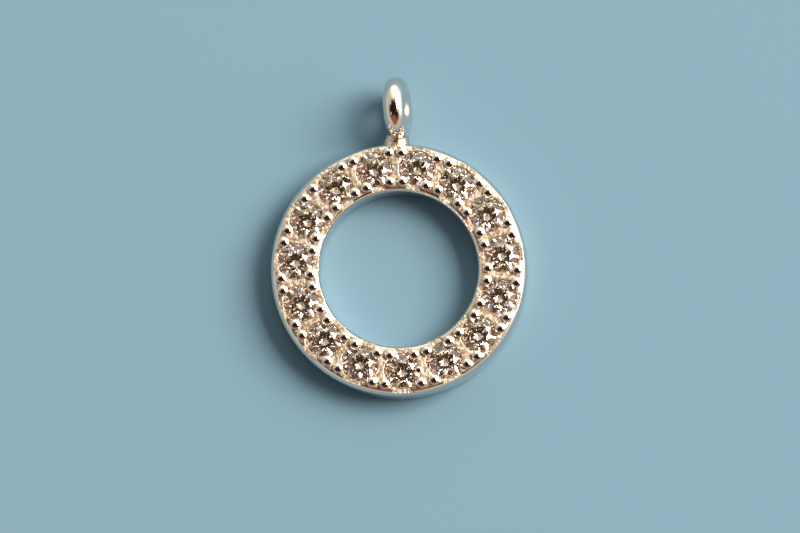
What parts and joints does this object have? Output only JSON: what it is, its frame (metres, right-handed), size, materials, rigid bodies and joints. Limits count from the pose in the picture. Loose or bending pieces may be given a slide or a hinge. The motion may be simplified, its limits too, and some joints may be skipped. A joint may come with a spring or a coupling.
{
  "type": "ring pendant",
  "caption": "Open circle pendant: a cast silver ring set with one row of clear round brilliants, with a round-wire bail soldered to its rim.",
  "frame": {"origin": "middle of the ring at its back face, on the surface that it lies on", "axes": "+Z out of the set face, +Y towards the bail, so the pendant lies on its back with the bail's hole along X, turned 10 degrees about Y"},
  "size_m": [0.015, 0.0189, 0.0037],
  "materials": {
    "silver": "rhodium-plated silver, mirror polished on the walls, posts and bail, satin on the webs",
    "cubic_zirconia": "clear, polished facets, refractive index about 2.17"
  },
  "bodies": {
    "root": {"ring_setting": "silver", "stone_01": "cubic_zirconia", "stone_02": "cubic_zirconia", "stone_03": "cubic_zirconia", "stone_04": "cubic_zirconia", "stone_05": "cubic_zirconia", "stone_06": "cubic_zirconia", "stone_07": "cubic_zirconia", "stone_08": "cubic_zirconia", "stone_09": "cubic_zirconia", "stone_10": "cubic_zirconia", "stone_11": "cubic_zirconia", "stone_12": "cubic_zirconia", "stone_13": "cubic_zirconia", "stone_14": "cubic_zirconia", "stone_15": "cubic_zirconia"}
  },
  "joints": []
}
